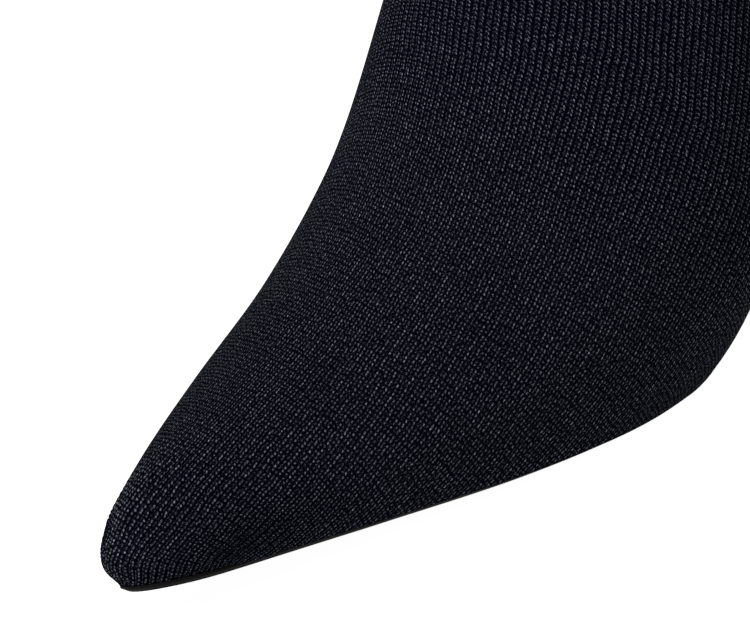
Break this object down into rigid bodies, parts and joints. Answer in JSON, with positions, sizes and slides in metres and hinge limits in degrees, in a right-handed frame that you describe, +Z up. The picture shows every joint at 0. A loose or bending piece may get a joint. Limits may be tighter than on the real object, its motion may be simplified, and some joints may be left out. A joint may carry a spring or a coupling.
{
  "type": "thigh-high boot",
  "caption": "Pull-on thigh-high boot in fine black knit with a pointed toe, thin sole and block heel; the stretch shaft covers the leg to the thigh.",
  "frame": {"origin": "on the ground, under the middle of the boot's bounding box", "axes": "+X from heel to toe, +Y to the wearer's left, the outer side, +Z up the leg"},
  "size_m": [0.2708, 0.121, 0.6901],
  "materials": {
    "knit_upper": "fine black jersey knit with a navy cast, soft sheen",
    "insole": "matte black textile",
    "outsole": "satin black rubber",
    "heel": "satin black lacquer",
    "top_lift": "matte black rubber"
  },
  "bodies": {
    "root": {"knit_upper": "knit_upper", "insole": "insole", "outsole": "outsole", "heel": "heel", "top_lift": "top_lift"}
  },
  "joints": []
}
